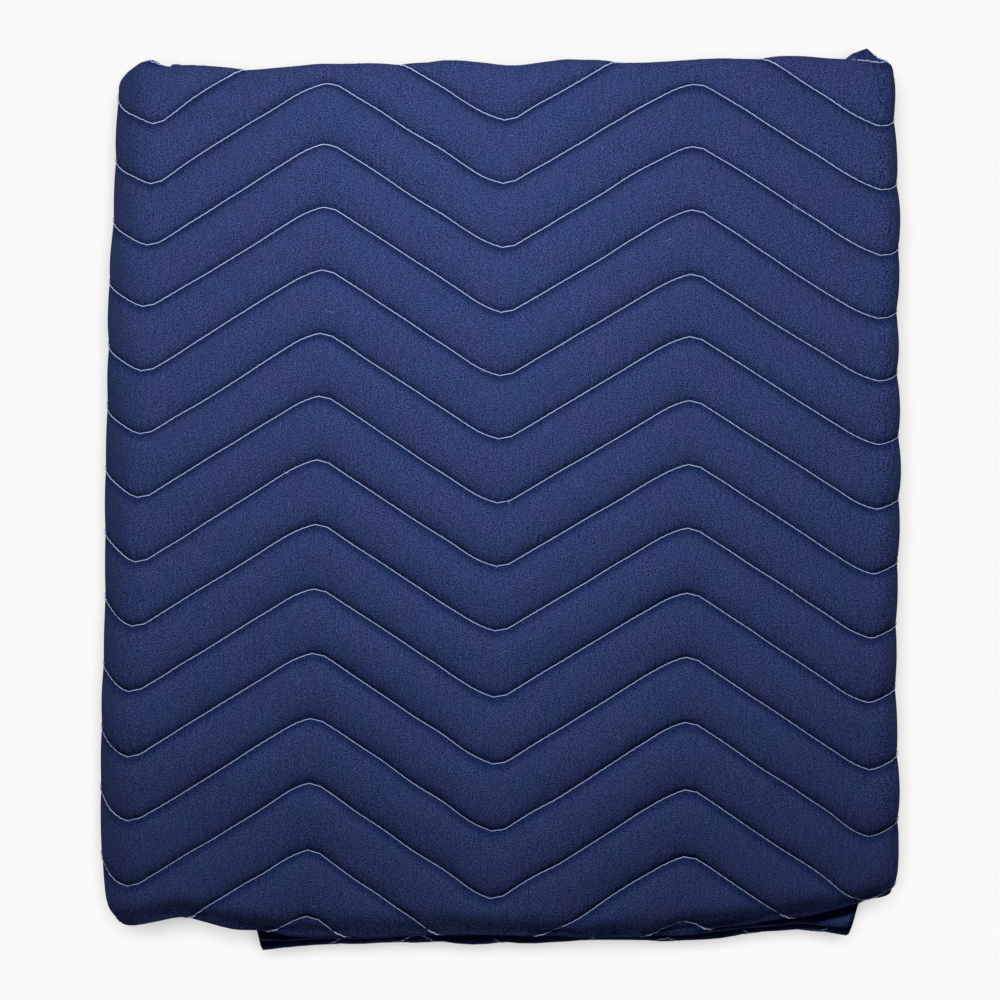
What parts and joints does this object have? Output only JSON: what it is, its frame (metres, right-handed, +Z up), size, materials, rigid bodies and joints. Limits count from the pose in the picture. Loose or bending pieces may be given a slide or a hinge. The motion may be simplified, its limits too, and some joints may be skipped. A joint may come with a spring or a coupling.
{
  "type": "quilted cushion mat",
  "caption": "Quilted cloth mat with zigzag stitching, folded into a flat packet, for padding and covering furniture and goods while they are moved or stored.",
  "frame": {"origin": "middle of the folded mat's outline, on the surface that it lies on", "axes": "+Z up from that surface, +Y towards the back of the packet, +X to its right, with the big fold round the whole stack on the left"},
  "size_m": [0.4701, 0.5286, 0.0576],
  "materials": {
    "navy_cloth": "matte navy woven cloth, quilted in zigzag rows",
    "white_thread": "matte white quilting thread"
  },
  "bodies": {
    "root": {"quilted_mat": "navy_cloth"}
  },
  "joints": []
}
